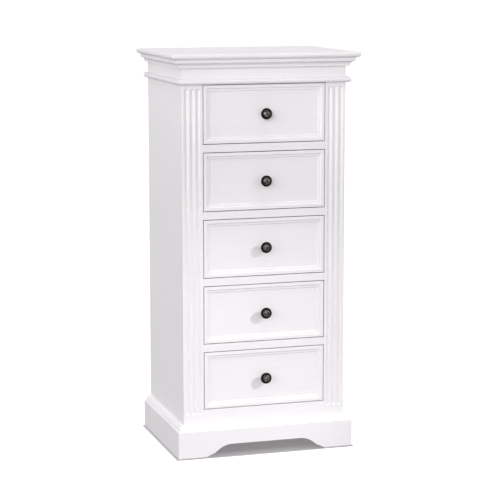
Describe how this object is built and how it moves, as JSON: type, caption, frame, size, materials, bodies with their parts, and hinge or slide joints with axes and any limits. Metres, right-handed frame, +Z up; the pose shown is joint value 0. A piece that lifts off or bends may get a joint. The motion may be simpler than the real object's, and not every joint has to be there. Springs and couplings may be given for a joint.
{
  "type": "tall chest of drawers",
  "caption": "Tall narrow chest of inset panelled drawers in white paint, with fluted corner posts, a moulded overhanging top, round dark knobs and an arched plinth.",
  "frame": {"origin": "on the floor, at the centre of the whole chest's outline seen from above", "axes": "+X to the right of a person facing the drawers, +Y towards the back, +Z up; the drawers open along -Y"},
  "size_m": [0.576, 0.438, 1.2],
  "materials": {
    "painted_wood": "satin white paint over wood",
    "bare_hardwood": "planed hardwood with a thin clear lacquer",
    "plywood": "sanded birch plywood",
    "dark_bronze": "oil-rubbed bronze on turned brass",
    "zinc_steel": "bright zinc plate"
  },
  "bodies": {
    "carcass": {"side_panel_left": "painted_wood", "side_panel_right": "painted_wood", "stile_left": "painted_wood", "stile_right": "painted_wood", "bottom_rail": "painted_wood", "divider_rail_1": "painted_wood", "divider_rail_2": "painted_wood", "divider_rail_3": "painted_wood", "divider_rail_4": "painted_wood", "frieze_rail": "painted_wood", "bottom_board": "bare_hardwood", "back_panel": "plywood", "back_screws": "zinc_steel", "top_board": "painted_wood", "cornice_front": "painted_wood", "cornice_left": "painted_wood", "cornice_right": "painted_wood", "bead_front": "painted_wood", "bead_left": "painted_wood", "bead_right": "painted_wood", "plinth_front": "painted_wood", "plinth_left": "painted_wood", "plinth_right": "painted_wood", "drawer_runners": "bare_hardwood", "top_cleats": "bare_hardwood"},
    "drawer_1": {"drawer_1_front": "painted_wood", "drawer_1_side_left": "bare_hardwood", "drawer_1_side_right": "bare_hardwood", "drawer_1_back": "bare_hardwood", "drawer_1_bottom": "plywood", "drawer_1_knob": "dark_bronze", "drawer_1_knob_screw": "zinc_steel"},
    "drawer_2": {"drawer_2_front": "painted_wood", "drawer_2_side_left": "bare_hardwood", "drawer_2_side_right": "bare_hardwood", "drawer_2_back": "bare_hardwood", "drawer_2_bottom": "plywood", "drawer_2_knob": "dark_bronze", "drawer_2_knob_screw": "zinc_steel"},
    "drawer_3": {"drawer_3_front": "painted_wood", "drawer_3_side_left": "bare_hardwood", "drawer_3_side_right": "bare_hardwood", "drawer_3_back": "bare_hardwood", "drawer_3_bottom": "plywood", "drawer_3_knob": "dark_bronze", "drawer_3_knob_screw": "zinc_steel"},
    "drawer_4": {"drawer_4_front": "painted_wood", "drawer_4_side_left": "bare_hardwood", "drawer_4_side_right": "bare_hardwood", "drawer_4_back": "bare_hardwood", "drawer_4_bottom": "plywood", "drawer_4_knob": "dark_bronze", "drawer_4_knob_screw": "zinc_steel"},
    "drawer_5": {"drawer_5_front": "painted_wood", "drawer_5_side_left": "bare_hardwood", "drawer_5_side_right": "bare_hardwood", "drawer_5_back": "bare_hardwood", "drawer_5_bottom": "plywood", "drawer_5_knob": "dark_bronze", "drawer_5_knob_screw": "zinc_steel"}
  },
  "joints": [
    {"name": "drawer_1_slide", "type": "slide", "parent": "carcass", "child": "drawer_1", "axis": [0, -1, 0], "range_m": [0, 0.28]},
    {"name": "drawer_2_slide", "type": "slide", "parent": "carcass", "child": "drawer_2", "axis": [0, -1, 0], "range_m": [0, 0.28]},
    {"name": "drawer_3_slide", "type": "slide", "parent": "carcass", "child": "drawer_3", "axis": [0, -1, 0], "range_m": [0, 0.28]},
    {"name": "drawer_4_slide", "type": "slide", "parent": "carcass", "child": "drawer_4", "axis": [0, -1, 0], "range_m": [0, 0.28]},
    {"name": "drawer_5_slide", "type": "slide", "parent": "carcass", "child": "drawer_5", "axis": [0, -1, 0], "range_m": [0, 0.28]}
  ]
}
